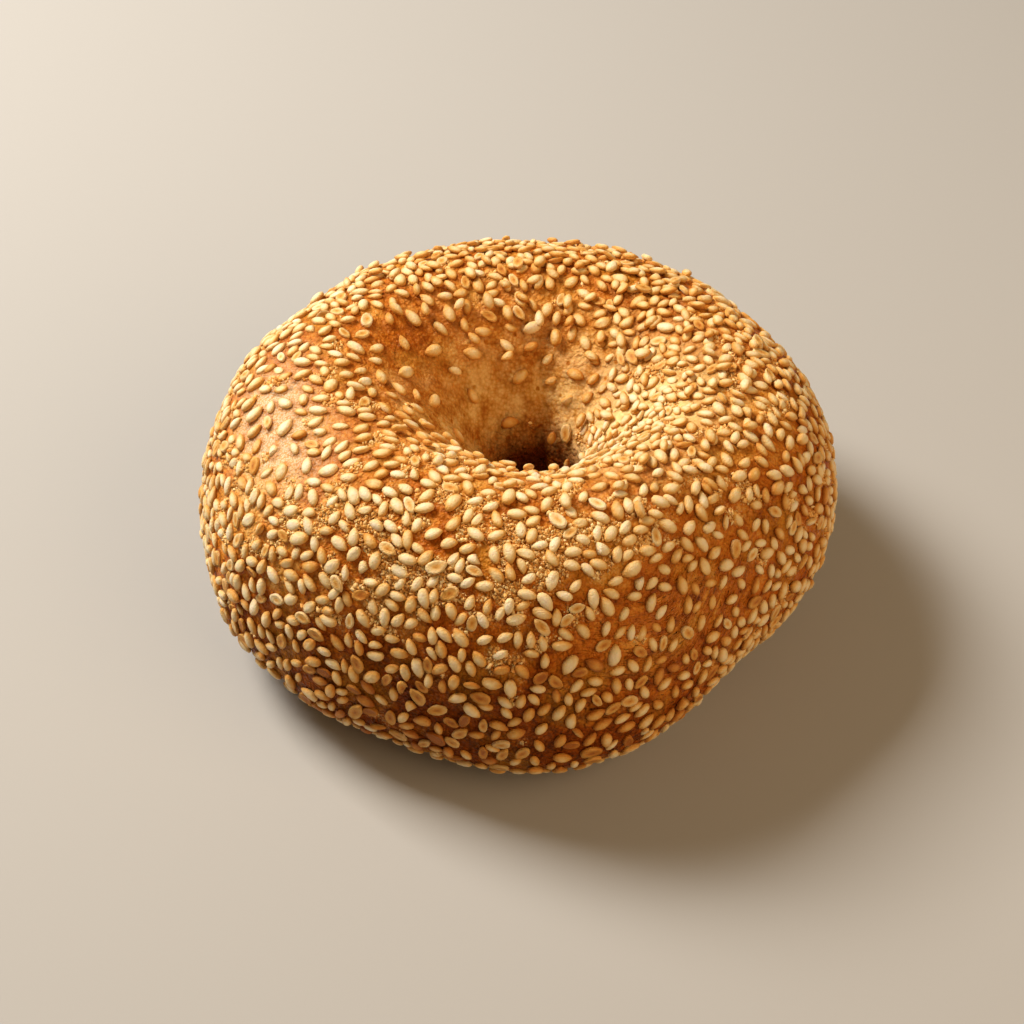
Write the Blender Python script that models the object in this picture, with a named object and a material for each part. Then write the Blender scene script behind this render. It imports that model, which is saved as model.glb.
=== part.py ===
"""A sesame bagel: one ring of baked dough with the largest of its sesame seeds fused on.

Metres, +Z up. The origin is at the middle of the underside, where the bagel rests on its flat base.
+X is to the right and +Y away from somebody who faces the bagel's front.

The dough is one ring. A point on its skin is named by two numbers:
  azimuth  the way round the ring, in radians, from +X towards +Y
  turn     the way round the ring's section, from 0 to 5, with one arc from each whole number to the next:
           0 girth to crest, 1 crest to throat, 2 throat to base, 3 flat base, 4 base to girth
The throat is the narrowest place of the hole, and the girth is the widest place of the ring.
"""

import math
import random

import bmesh
import bpy
from mathutils import Matrix, Vector, noise

MM = 0.001

# The ring as baked, without its seeds.
GIRTH_RADIUS = 50.6 * MM
CREST_HEIGHT = 43.3 * MM
THROAT_RADIUS = 6.6 * MM
THROAT_CENTRE = Vector((2.8 * MM, 1.4 * MM))
GIRTH_HEIGHT = 17.2 * MM
THROAT_HEIGHT = 13.6 * MM
RING_CENTRE = Vector((-0.2 * MM, 1.0 * MM))

# Shares of the way from the throat, 0, to the girth, 1.
CREST_SHARE = 0.54
BASE_SHARES = (0.25, 0.65)

# Powers of the section's arcs: 2 is an ellipse, more is fuller and less is leaner.
DOME_POWER = 2.1
FUNNEL_POWER = 1.65
UNDER_POWER = 1.9

# A ring rolled by hand is out of round: (waves round the ring, height of a wave, azimuth of a peak).
GIRTH_WAVES = (
    (2, 0.8 * MM, math.radians(22)),
    (3, 0.4 * MM, math.radians(30)),
    (4, 0.9 * MM, math.radians(6)),
    (5, 0.5 * MM, math.radians(-9)),
    (6, 0.4 * MM, math.radians(-14)),
)
CREST_WAVES = ((1, 2.9 * MM, math.radians(-121)),)
GIRTH_HEIGHT_WAVES = ((1, 4.2 * MM, math.radians(47)),)

# Soft lumps of the skin, and the crease in the hole where the rope of dough was joined.
LUMP_SIZE = 17.0 * MM
LUMP_HEIGHT = 0.9 * MM
LUMPS_FADE_BELOW = 9.0 * MM
CREASE_AZIMUTH = math.radians(78)
CREASE_WIDTH = math.radians(9)
CREASE_DEPTH = 1.3 * MM

# Steps of the mesh, round the ring and along each arc of the section.
RING_STEPS = 48
ARC_STEPS = (6, 5, 3, 1, 5)

# The largest sesame seeds. Widths and thicknesses are shares of a seed's length.
SEED_COUNT = 260
SEED_LENGTHS = (3.1 * MM, 3.7 * MM)
SEED_WIDTH_SHARE = 0.60
SEED_THICKNESS_SHARE = 0.36
SEED_TAPER = 0.22
SEED_SIDES = 6
SEED_RINGS = 3
SEED_SPACING = 6.3 * MM
SEED_SUNK_SHARE = 0.4
SEED_CLEAR_OF_BASE = 3.0 * MM

# The draws of their places and of their poses, and the most skin that one radian by one turn covers.
PLACE_DRAW = 7
POSE_DRAW = 8
SEED_TRIES = 60000
LARGEST_SKIN_AREA = 2950.0 * MM * MM

# Where fewer seeds stuck: (azimuth, turn, half extent in azimuth, half extent in turn, share left).
ALL_ROUND = math.inf
THIN_PATCHES = (
    (math.radians(-160), 0.85, math.radians(16), 0.16, 0.25),
    (math.radians(-54), 0.25, math.radians(14), 0.16, 0.35),
    (0.0, 2.2, ALL_ROUND, 0.55, 0.0),
    (0.0, 3.6, ALL_ROUND, 0.7, 0.35),
)

CRUST_COLOUR = (0.52, 0.25, 0.08, 1.0)
CRUST_ROUGHNESS = 0.5
SHARP_ANGLE = math.radians(40)


def waves(azimuth, table):
    """Sum of the cosine waves in a table at one azimuth."""
    return sum(height * math.cos(count * (azimuth - peak)) for count, height, peak in table)


def quarter(centre, start, end, power, share):
    """A point on a quarter of a superellipse, a share of the way from start to end."""
    angle = share * math.pi / 2
    towards_start = max(math.cos(angle), 0.0) ** (2 / power)
    towards_end = math.sin(angle) ** (2 / power)
    return centre + (start - centre) * towards_start + (end - centre) * towards_end


def section_point(azimuth, turn):
    """(share of the way from throat to girth, height) of the section at one azimuth."""
    crest = CREST_HEIGHT + waves(azimuth, CREST_WAVES)
    girth = GIRTH_HEIGHT + waves(azimuth, GIRTH_HEIGHT_WAVES)
    inner, outer = BASE_SHARES
    arc = int(turn) % 5
    share = turn - int(turn)
    if arc == 0:
        return quarter(
            Vector((CREST_SHARE, girth)), Vector((1, girth)), Vector((CREST_SHARE, crest)), DOME_POWER, share
        )
    if arc == 1:
        return quarter(
            Vector((CREST_SHARE, THROAT_HEIGHT)),
            Vector((CREST_SHARE, crest)),
            Vector((0, THROAT_HEIGHT)),
            FUNNEL_POWER,
            share,
        )
    if arc == 2:
        return quarter(
            Vector((inner, THROAT_HEIGHT)), Vector((0, THROAT_HEIGHT)), Vector((inner, 0)), UNDER_POWER, share
        )
    if arc == 3:
        return Vector((inner + (outer - inner) * share, 0))
    return quarter(Vector((outer, girth)), Vector((outer, 0)), Vector((1, girth)), UNDER_POWER, share)


def smooth_point(azimuth, turn):
    """A point of the ring before lumps and crease."""
    way = Vector((math.cos(azimuth), math.sin(azimuth)))
    throat = THROAT_CENTRE + way * THROAT_RADIUS
    girth = way * (GIRTH_RADIUS + waves(azimuth, GIRTH_WAVES))
    share, height = section_point(azimuth, turn)
    flat = RING_CENTRE + throat.lerp(girth, share)
    return Vector((flat.x, flat.y, height))


def skin_slopes(azimuth, turn, step=1e-3):
    """How the point moves with azimuth and with turn, as two vectors."""
    round_ring = smooth_point(azimuth + step, turn) - smooth_point(azimuth - step, turn)
    round_section = smooth_point(azimuth, (turn + step) % 5) - smooth_point(azimuth, (turn - step) % 5)
    return round_ring / (2 * step), round_section / (2 * step)


def skin_normal(azimuth, turn):
    """The way out of the dough."""
    round_ring, round_section = skin_slopes(azimuth, turn)
    return round_ring.cross(round_section).normalized()


def ring_point(azimuth, turn):
    """A point on the dough's skin, lumps and crease included."""
    point = smooth_point(azimuth, turn)
    free_of_base = min(max(point.z / LUMPS_FADE_BELOW, 0.0), 1.0)
    lump = LUMP_HEIGHT * noise.noise(point / LUMP_SIZE)
    in_hole = math.sin(math.pi * min(max((turn - 1) / 2, 0.0), 1.0))
    off_crease = math.remainder(azimuth - CREASE_AZIMUTH, math.tau) / CREASE_WIDTH
    crease = CREASE_DEPTH * in_hole * math.exp(-off_crease * off_crease)
    return point + skin_normal(azimuth, turn) * (lump - crease) * free_of_base


def section_turns():
    """The turn of each mesh point round one section."""
    return [arc + step / steps for arc, steps in enumerate(ARC_STEPS) for step in range(steps)]


def make_dough():
    """The dough: Blender's torus with each point moved to its place on the skin."""
    turns = section_turns()
    bpy.ops.mesh.primitive_torus_add(major_segments=RING_STEPS, minor_segments=len(turns))
    dough = bpy.context.object
    for index, vertex in enumerate(dough.data.vertices):
        azimuth = math.tau * (index // len(turns)) / RING_STEPS
        vertex.co = ring_point(azimuth, turns[index % len(turns)])
    split_into_triangles(dough.data)
    return dough


def split_into_triangles(mesh):
    """Bent four-sided faces become two flat triangles each."""
    build = bmesh.new()
    build.from_mesh(mesh)
    bmesh.ops.triangulate(build, faces=build.faces)
    build.to_mesh(mesh)
    build.free()


def seed_share(azimuth, turn):
    """How much of the full cover of seeds lies at a point of the skin, from 0 to 1."""
    share = 1.0
    for patch_azimuth, patch_turn, half_azimuth, half_turn, left in THIN_PATCHES:
        across = math.remainder(azimuth - patch_azimuth, math.tau) / half_azimuth
        along = math.remainder(turn - patch_turn, 5) / half_turn
        share *= 1 - (1 - left) * math.exp(-across * across - along * along)
    return share


def draw_seed_places():
    """Places for the seeds as (azimuth, turn), spread evenly over the skin and fewer in the thin patches."""
    draw = random.Random(PLACE_DRAW)
    places = []
    taken = []
    for _ in range(SEED_TRIES):
        azimuth = draw.uniform(-math.pi, math.pi)
        turn = draw.uniform(0, 5)
        area_chance = draw.random()
        cover_chance = draw.random()
        round_ring, round_section = skin_slopes(azimuth, turn)
        area_share = round_ring.cross(round_section).length / LARGEST_SKIN_AREA
        if area_chance > area_share or cover_chance > seed_share(azimuth, turn):
            continue
        point = ring_point(azimuth, turn)
        if point.z < SEED_CLEAR_OF_BASE or any((point - other).length < SEED_SPACING for other in taken):
            continue
        places.append((azimuth, turn))
        taken.append(point)
        if len(places) == SEED_COUNT:
            break
    return places


def make_seed_shape():
    """One seed 1 long along X: a flat drop, round at one end and narrow at the other."""
    build = bmesh.new()
    bmesh.ops.create_uvsphere(build, u_segments=SEED_SIDES, v_segments=SEED_RINGS, radius=0.5)
    widest = max(corner.co.x for corner in build.verts)
    for corner in build.verts:
        from_axis = math.hypot(corner.co.x, corner.co.y)
        towards_tip = corner.co.x / from_axis if from_axis > 0.1 * widest else 0.0
        corner.co.x *= 0.5 / widest
        corner.co.y *= 0.5 / widest * SEED_WIDTH_SHARE * (1 - SEED_TAPER * towards_tip)
        corner.co.z *= SEED_THICKNESS_SHARE
    shape = bpy.data.meshes.new("seed_shape")
    build.to_mesh(shape)
    build.free()
    return shape


def make_seeds(dough, collection):
    """The largest seeds, each lying on the dough at its own heading and part sunk in it."""
    draw = random.Random(POSE_DRAW)
    shape = make_seed_shape()
    for azimuth, turn in draw_seed_places():
        length = draw.uniform(*SEED_LENGTHS)
        heading = draw.uniform(0, math.tau)
        _, seat, out, _ = dough.closest_point_on_mesh(ring_point(azimuth, turn))
        round_ring, _ = skin_slopes(azimuth, turn)
        level = (round_ring - out * round_ring.dot(out)).normalized()
        along = Matrix.Rotation(heading, 3, out) @ level
        across = out.cross(along)
        raised = (0.5 - SEED_SUNK_SHARE) * SEED_THICKNESS_SHARE * length
        place = Matrix((along, across, out)).transposed().to_4x4() @ Matrix.Scale(length, 4)
        place.translation = seat + out * raised
        seed = bpy.data.objects.new("seed", shape.copy())
        seed.data.transform(place)
        collection.objects.link(seed)


def fuse(dough, collection):
    """Join the collection's objects to the dough as one solid, and remove them."""
    joint = dough.modifiers.new("fuse", "BOOLEAN")
    joint.operation = "UNION"
    joint.operand_type = "COLLECTION"
    joint.collection = collection
    joint.solver = "EXACT"
    bpy.context.view_layer.objects.active = dough
    bpy.ops.object.modifier_apply(modifier=joint.name)
    for seed in list(collection.objects):
        bpy.data.objects.remove(seed)
    bpy.data.collections.remove(collection)


def baked_crust():
    """Golden brown baked crust."""
    material = bpy.data.materials.new("baked_crust")
    material.use_nodes = True
    shader = material.node_tree.nodes["Principled BSDF"]
    shader.inputs["Base Color"].default_value = CRUST_COLOUR
    shader.inputs["Roughness"].default_value = CRUST_ROUGHNESS
    return material


def main():
    for old in list(bpy.data.objects):
        bpy.data.objects.remove(old)
    bagel = make_dough()
    bagel.name = "bagel"
    seeds = bpy.data.collections.new("seeds")
    bpy.context.scene.collection.children.link(seeds)
    make_seeds(bagel, seeds)
    fuse(bagel, seeds)
    bagel.data.materials.clear()
    bagel.data.materials.append(baked_crust())
    bagel.data.shade_smooth()
    bagel.data.set_sharp_from_angle(angle=SHARP_ANGLE)


main()
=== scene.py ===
# %% [markdown]
# # A sesame bagel
# The bagel is one ring of baked dough with some three thousand sesame seeds stuck to it. The solid model
# holds its shape and its largest seeds. Here the same ring gets a fine crust, all of its seeds and the
# crumbs between them, each as real geometry.

# %% Load the solid
import math
import random
from functools import partial

import bpy
import numpy as np
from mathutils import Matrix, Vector, kdtree, noise


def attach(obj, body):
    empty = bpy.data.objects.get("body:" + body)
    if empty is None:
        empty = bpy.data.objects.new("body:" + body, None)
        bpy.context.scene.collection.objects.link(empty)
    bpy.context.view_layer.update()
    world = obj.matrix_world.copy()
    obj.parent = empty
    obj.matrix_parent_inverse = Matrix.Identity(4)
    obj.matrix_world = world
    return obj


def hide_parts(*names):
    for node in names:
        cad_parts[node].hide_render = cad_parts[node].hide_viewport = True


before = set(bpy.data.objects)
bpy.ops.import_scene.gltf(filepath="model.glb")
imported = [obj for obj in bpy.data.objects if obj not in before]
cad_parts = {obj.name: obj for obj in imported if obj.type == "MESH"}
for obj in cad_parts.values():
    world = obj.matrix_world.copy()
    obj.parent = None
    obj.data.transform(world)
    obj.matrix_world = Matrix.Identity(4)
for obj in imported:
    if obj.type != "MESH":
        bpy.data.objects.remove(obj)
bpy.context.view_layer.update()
MM = 0.001
bpy.ops.object.select_all(action="DESELECT")

# %% [markdown]
# The photo looks down on the bagel at about 45 degrees, from a third of a metre away. The distance and
# the lens were found together, from how much smaller the ring's far side looks than the near one.

# %% Camera
CAMERA_ELEVATION = math.radians(45)
CAMERA_DISTANCE = 340 * MM
CAMERA_TARGET = Vector((-0.65, -3.7, 18)) * MM
LENS_MM = 72.4
camera_back = Vector((0, -math.cos(CAMERA_ELEVATION), math.sin(CAMERA_ELEVATION)))
bpy.ops.object.camera_add(location=CAMERA_TARGET + camera_back * CAMERA_DISTANCE)
photo_view = bpy.context.object
photo_view.name = "photo_view"
photo_view.rotation_euler = (math.pi / 2 - CAMERA_ELEVATION, 0, 0)
photo_view.data.lens = LENS_MM
photo_view.data.sensor_width = 36
photo_view.data.clip_start = 10 * MM
bpy.context.scene.camera = photo_view
print("camera at, mm:", [round(c / MM) for c in photo_view.location])

# %% [markdown]
# The ring is the solid's own rule, for whole arrays of points at once. A point on the skin has two
# numbers: its azimuth round the ring, and its turn round the section. Turn 0 is the girth, 1 the crest, 2
# the throat of the hole, 3 and 4 the inner and outer edge of the base, and 5 is the girth again.

# %% Sizes of the ring
GIRTH_RADIUS = 50.6 * MM
CREST_HEIGHT = 43.3 * MM
THROAT_RADIUS = 6.6 * MM
THROAT_CENTRE = np.array((2.8, 1.4)) * MM
GIRTH_HEIGHT = 17.2 * MM
THROAT_HEIGHT = 13.6 * MM
RING_CENTRE = np.array((-0.2, 1.0)) * MM
CREST_SHARE = 0.54
BASE_SHARES = (0.25, 0.65)
DOME_POWER = 2.1
FUNNEL_POWER = 1.65
UNDER_POWER = 1.9
GIRTH_WAVES = ((2, 0.8, 22), (3, 0.4, 30), (4, 0.9, 6), (5, 0.5, -9), (6, 0.4, -14))
CREST_WAVES = ((1, 2.9, -121),)
GIRTH_HEIGHT_WAVES = ((1, 4.2, 47),)
LUMP_SIZE = 17.0 * MM
LUMP_HEIGHT = 0.9 * MM
LUMPS_FADE_BELOW = 9.0 * MM
CREASE_AZIMUTH = math.radians(78)
CREASE_WIDTH = math.radians(9)
CREASE_DEPTH = 1.3 * MM


# %% The ring as a rule
def waves(azimuth, table):
    """Sum of the cosine waves in a table of count, height in mm and peak in degrees."""
    return sum(
        height * MM * np.cos(count * (azimuth - math.radians(peak))) for count, height, peak in table
    )


def quarter(centre, start, end, power, share):
    """A quarter of a superellipse, a share of the way from start to end."""
    towards_start = np.maximum(np.cos(share * np.pi / 2), 0) ** (2 / power)
    towards_end = np.sin(share * np.pi / 2) ** (2 / power)
    return centre + (start - centre) * towards_start + (end - centre) * towards_end


def smooth_points(azimuth, turn):
    """Points of the ring before lumps and crease."""
    crest = CREST_HEIGHT + waves(azimuth, CREST_WAVES)
    girth = GIRTH_HEIGHT + waves(azimuth, GIRTH_HEIGHT_WAVES)
    inner, outer = BASE_SHARES
    arcs = (
        ((CREST_SHARE, girth), (1, girth), (CREST_SHARE, crest), DOME_POWER),
        ((CREST_SHARE, THROAT_HEIGHT), (CREST_SHARE, crest), (0, THROAT_HEIGHT), FUNNEL_POWER),
        ((inner, THROAT_HEIGHT), (0, THROAT_HEIGHT), (inner, 0), UNDER_POWER),
        ((inner, 0), (inner, 0), (outer, 0), 1),
        ((outer, girth), (outer, 0), (1, girth), UNDER_POWER),
    )
    arc = np.floor(turn % 5)
    rest = turn % 5 - arc
    share = np.zeros_like(azimuth)
    height = np.zeros_like(azimuth)
    for number, (centre, start, end, power) in enumerate(arcs):
        share = np.where(arc == number, quarter(centre[0], start[0], end[0], power, rest), share)
        height = np.where(arc == number, quarter(centre[1], start[1], end[1], power, rest), height)
    way = np.stack((np.cos(azimuth), np.sin(azimuth)), axis=-1)
    throat = THROAT_CENTRE + way * THROAT_RADIUS
    widest = way * (GIRTH_RADIUS + waves(azimuth, GIRTH_WAVES))[..., None]
    flat = RING_CENTRE + throat + (widest - throat) * share[..., None]
    return np.concatenate((flat, height[..., None]), axis=-1)


def skin_slopes(azimuth, turn, step=1e-3):
    """How the points move with azimuth and with turn."""
    round_ring = smooth_points(azimuth + step, turn) - smooth_points(azimuth - step, turn)
    round_section = smooth_points(azimuth, turn + step) - smooth_points(azimuth, turn - step)
    return round_ring / (2 * step), round_section / (2 * step)


def unit(vectors):
    """Vectors of length 1."""
    return vectors / np.linalg.norm(vectors, axis=-1, keepdims=True)


def remainder(value, whole):
    """What is left of a value, from minus half of the whole to plus half of it."""
    return (value + whole / 2) % whole - whole / 2


def noise_at(points, size, octaves=1):
    """Smooth noise of one size, from about -1 to 1."""
    return np.array([noise.fractal(Vector(p), 1.0, 2.0, octaves) for p in (points / size).tolist()])


def ring_points(azimuth, turn):
    """Points on the dough's skin, with lumps and crease, and the way out of it."""
    points = smooth_points(azimuth, turn)
    out = unit(np.cross(*skin_slopes(azimuth, turn)))
    free_of_base = np.clip(points[:, 2] / LUMPS_FADE_BELOW, 0, 1)
    lump = LUMP_HEIGHT * np.array([noise.noise(Vector(p)) for p in (points / LUMP_SIZE).tolist()])
    in_hole = np.sin(np.pi * np.clip((turn - 1) / 2, 0, 1))
    off_crease = remainder(azimuth - CREASE_AZIMUTH, 2 * np.pi) / CREASE_WIDTH
    crease = CREASE_DEPTH * in_hole * np.exp(-(off_crease**2))
    return points + out * ((lump - crease) * free_of_base)[:, None], out


# %% [markdown]
# The oven and the baker's hands left their marks in zones, and some zones carry painted shade as well.
# A zone is a soft patch of the skin with the azimuth and turn of its middle, and then its reach in both.
# One bare shoulder lost most of its seeds, the hole's wall never got many, one flank is stretched, and
# the low front is darkest, partly baked deeper and partly with painted shade.

# %% Zones of the skin
ALL_ROUND = math.inf
ZONES = {
    "bare_shoulder": (-164, 0.74, 19, 0.2),
    "red_lip": (151, 1.26, 24, 0.17),
    "streaked_flank": (-57, 0.32, 20, 0.26),
    "dark_patch": (-60, 0.38, 7, 0.09),
    "wall": (0, 2.0, ALL_ROUND, 0.62),
    "seeded_wall": (-15, 1.5, 56, 0.48),
    "far_crest": (84, 0.9, 62, 0.42),
    "front_lip": (-80, 1.25, 60, 0.16),
    "crumbed_top": (-104, 0.7, 52, 0.36),
    "crumbed_lip": (174, 1.03, 14, 0.13),
    "pale_flank": (-148, 0.48, 24, 0.26),
    "low_front": (-99, 0.0, 53, 0.35),
    "underside": (0, 3.6, ALL_ROUND, 0.75),
}


def soft_patch(patch, azimuth, turn):
    """How far inside a patch the points are, from 0 to 1. The patch has its azimuths in degrees."""
    middle_azimuth, middle_turn, reach_azimuth, reach_turn = patch
    across = remainder(azimuth - math.radians(middle_azimuth), 2 * np.pi) / math.radians(reach_azimuth)
    along = remainder(turn - middle_turn, 5) / reach_turn
    return np.exp(-(across**2) - along**2)


def zone(name, *place):
    """How far inside a zone the points are, from 0 to 1."""
    return soft_patch(ZONES[name], *place)


def by_zone(weights, *place):
    """The zones in a table, each times its weight, added up."""
    return sum(weight * zone(name, *place) for name, weight in weights.items())


# %% [markdown]
# The crust starts as Blender's torus. Its largest size is 256 steps each way, so it is added with half of
# the steps and subdivided once in edit mode. The steps round the section are shared out by how long each
# arc is, and then every point moves to its place on the ring.

# %% Crust: a torus with evenly spread steps
RING_STEPS = 480
ARC_STEPS = (66, 62, 18, 14, 40)
SECTION_STEPS = sum(ARC_STEPS)

bpy.ops.mesh.primitive_torus_add(
    major_segments=RING_STEPS // 2, minor_segments=SECTION_STEPS // 2, major_radius=2, minor_radius=1
)
crust = bpy.context.object
crust.name = "crust"
bpy.ops.object.mode_set(mode="EDIT")
bpy.ops.mesh.select_all(action="SELECT")
bpy.ops.mesh.subdivide(number_cuts=1)
bpy.ops.object.mode_set(mode="OBJECT")
torus = np.empty((len(crust.data.vertices), 3))
crust.data.vertices.foreach_get("co", torus.ravel())
crust_azimuth = np.arctan2(torus[:, 1], torus[:, 0])
section = np.arctan2(torus[:, 2], np.hypot(torus[:, 0], torus[:, 1]) - 2)
step = (section / (2 * np.pi) % 1) * SECTION_STEPS
crust_turn = np.interp(step, np.concatenate(([0], np.cumsum(ARC_STEPS))), np.arange(6)) % 5
crust_skin, crust_out = ring_points(crust_azimuth, crust_turn)
print("crust points:", len(crust_skin), "triangles:", 2 * len(crust.data.polygons))

# %% [markdown]
# The largest seeds come first. They are the solid's, so its own draw is repeated, with the same start
# number, and gives the same places.

# %% The solid's own seeds
SEED_COUNT = 260
SEED_LENGTHS = (3.1 * MM, 3.7 * MM)
SEED_SPACING = 6.3 * MM
SEED_CLEAR_OF_BASE = 3.0 * MM
PLACE_DRAW = 7
POSE_DRAW = 8
SEED_TRIES = 60000
LARGEST_SKIN_AREA = 2950.0 * MM * MM
THIN_PATCHES = (
    (-160, 0.85, 16, 0.16, 0.25),
    (-54, 0.25, 14, 0.16, 0.35),
    (0, 2.2, ALL_ROUND, 0.55, 0.0),
    (0, 3.6, ALL_ROUND, 0.7, 0.35),
)


def skin_share(*place):
    """How much skin one step of azimuth and turn covers, as a share of the most."""
    return np.linalg.norm(np.cross(*skin_slopes(*place)), axis=-1) / LARGEST_SKIN_AREA


def solid_seed_places():
    """The places of the solid's seeds as (azimuth, turn), by the solid's own draw."""
    draw = random.Random(PLACE_DRAW)
    spans = ((-math.pi, math.pi), (0, 5), (0, 1), (0, 1))
    tries = np.array([[draw.uniform(*span) for span in spans] for _ in range(SEED_TRIES)])
    azimuth, turn, area_chance, cover_chance = tries.T
    cover = np.ones(SEED_TRIES)
    for *patch, left in THIN_PATCHES:
        cover *= 1 - (1 - left) * soft_patch(patch, azimuth, turn)
    stays = (area_chance <= skin_share(azimuth, turn)) & (cover_chance <= cover)
    azimuth, turn = azimuth[stays], turn[stays]
    points, _ = ring_points(azimuth, turn)
    taken = []
    for index, point in enumerate(points):
        clear = all(np.linalg.norm(point - points[other]) >= SEED_SPACING for other in taken)
        if point[2] >= SEED_CLEAR_OF_BASE and clear:
            taken.append(index)
        if len(taken) == SEED_COUNT:
            break
    return azimuth[taken], turn[taken]


first_azimuth, first_turn = solid_seed_places()
print("first seeds:", len(first_azimuth), "first at", first_azimuth[0], first_turn[0])

# %% [markdown]
# The rest of the seeds fill in between. Each try has its own place, length, width, heading and chance,
# drawn from a fixed start, so the same bagel comes out every time.

# %% Draw the seeds
FILL_DRAW = 21
FILL_TRIES = 230000
FILL_LENGTHS = (2.5 * MM, 3.3 * MM)
WIDTH_SHARES = (0.51, 0.63)
FIRST_WIDTH_SHARE = 0.6
CLUSTERING = 0.28
CLUSTER_SIZE = 6 * MM
CELL = 4.2 * MM
DISC_STEPS = np.array((-0.3, -0.02, 0.27))
DISC_SIZES = np.array((0.74, 0.98, 0.66))
OVERLAP_ALLOWED = 0.16 * MM
SPARSE_WALL_ROOM = 7.0
ROOM_BY_ZONE = {
    "bare_shoulder": 0.66, "underside": 0.55, "low_front": 0.16, "red_lip": 1.3,
    "streaked_flank": 0.36, "far_crest": -0.2, "front_lip": -0.14, "seeded_wall": -0.16,
}


def sparse_wall(*place):
    """The part of the hole's wall where hardly any seeds stuck."""
    return zone("wall", *place) * np.clip(1 - 1.3 * zone("seeded_wall", *place), 0, 1)


def crowding(points, *place):
    """The room a seed asks for, where 1 is its own size. It drifts, so seeds lie in loose clusters."""
    room = 1.0 + CLUSTERING * noise_at(points, CLUSTER_SIZE) + by_zone(ROOM_BY_ZONE, *place)
    return room + SPARSE_WALL_ROOM * sparse_wall(*place) ** 2


def level_frame(azimuth, turn, heading):
    """Place, way out, and the seed's own way along, for each seed."""
    points, out = ring_points(azimuth, turn)
    round_ring, _ = skin_slopes(azimuth, turn)
    level = unit(round_ring - out * np.sum(round_ring * out, axis=1, keepdims=True))
    side = np.cross(out, level)
    along = level * np.cos(heading)[:, None] + side * np.sin(heading)[:, None]
    return points, out, along


def draw_on_skin(draw, tries):
    """Places spread evenly over the skin, as (azimuth, turn)."""
    azimuth = draw.uniform(-np.pi, np.pi, tries)
    turn = draw.uniform(0, 5, tries)
    stays = draw.random(tries) < skin_share(azimuth, turn)
    return azimuth[stays], turn[stays]


draw = random.Random(POSE_DRAW)
first_length, first_heading = np.array(
    [(draw.uniform(*SEED_LENGTHS), draw.uniform(0, math.tau)) for _ in range(SEED_COUNT)]
).T
first_width = np.full(SEED_COUNT, FIRST_WIDTH_SHARE)
draw = np.random.default_rng(FILL_DRAW)
fill_azimuth, fill_turn = draw_on_skin(draw, FILL_TRIES)
count = len(fill_turn)
azimuth = np.concatenate((first_azimuth, fill_azimuth))
turn = np.concatenate((first_turn, fill_turn))
length = np.concatenate((first_length, draw.uniform(*FILL_LENGTHS, count)))
width = np.concatenate((first_width, draw.uniform(*WIDTH_SHARES, count)))
heading = np.concatenate((first_heading, draw.uniform(0, 2 * np.pi, count)))
print("tries:", len(azimuth))

# %% [markdown]
# Seeds lie flat on the dough and hardly ever through each other. Each seed is three discs along its
# length, larger where few seeds stuck, and one that would cut into an earlier seed is put back.

# %% Keep the seeds that fit
def cells_round(point):
    """The cell that a point lies in, and its neighbours."""
    x, y, z = (int(c // CELL) for c in point)
    return [(x + i, y + j, z + k) for i in (-1, 0, 1) for j in (-1, 0, 1) for k in (-1, 0, 1)]


def keep_what_fits(points, discs, sizes, room, always):
    """Indices of the seeds that fit beside the earlier ones. The first few, always, stay."""
    kept = []
    cells = {}
    for index, point in enumerate(points):
        near = [other for cell in cells_round(point) for other in cells.get(cell, ())]
        if near and index >= always:
            gaps = np.linalg.norm(discs[index][:, None, None] - discs[near][None], axis=-1)
            reach = sizes[index][:, None, None] * room[index] + (sizes[near] * room[near][:, None])[None]
            if (reach - gaps).max() > OVERLAP_ALLOWED:
                continue
        kept.append(index)
        cells.setdefault(tuple(int(c // CELL) for c in point), []).append(index)
    return np.array(kept)


seat, out, along = level_frame(azimuth, turn, heading)
discs = seat[:, None] + along[:, None] * (DISC_STEPS[:, None] * length[:, None, None])
sizes = DISC_SIZES * (width * length)[:, None] / 2
kept = keep_what_fits(seat, discs, sizes, crowding(seat, azimuth, turn), SEED_COUNT)
print("seeds kept:", len(kept))

# %% [markdown]
# A seed that overlaps an earlier one has slid up onto it, so it is lifted a little and leans away from
# it. Where seeds crowd, a few lie right on top of the others.

# %% Seeds that touch
LONGEST_REACH = 2.4 * MM
UPPER_LAYER_TRIES = 14000
UPPER_LAYER_GAP = 3.4 * MM
SEED_PILES = {
    "far_crest": 0.5, "front_lip": 0.7, "seeded_wall": 0.8, "crumbed_top": 0.05,
    "bare_shoulder": -1.0,
}
LAY_DRAW = 33


def search_tree(places):
    """A tree that finds the places near a point."""
    tree = kdtree.KDTree(len(places))
    for index, place in enumerate(places):
        tree.insert(place, index)
    tree.balance()
    return tree


def overlaps(kept, discs, sizes):
    """For each kept seed, how far it cuts into earlier ones, and the way out of them."""
    owners = np.repeat(np.arange(len(kept)), 3)
    radii = sizes[kept].ravel()
    places = discs[kept].reshape(-1, 3).tolist()
    tree = search_tree(places)
    deepest = np.zeros(len(kept))
    away = np.zeros((len(kept), 3))
    for index, place in enumerate(places):
        own = owners[index]
        for other_place, other, gap in tree.find_range(place, LONGEST_REACH):
            depth = radii[index] + radii[other] - gap
            if owners[other] < own and depth > 0:
                deepest[own] = max(deepest[own], depth)
                away[own] += (Vector(place) - other_place).normalized() * depth
    return deepest, away


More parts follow.
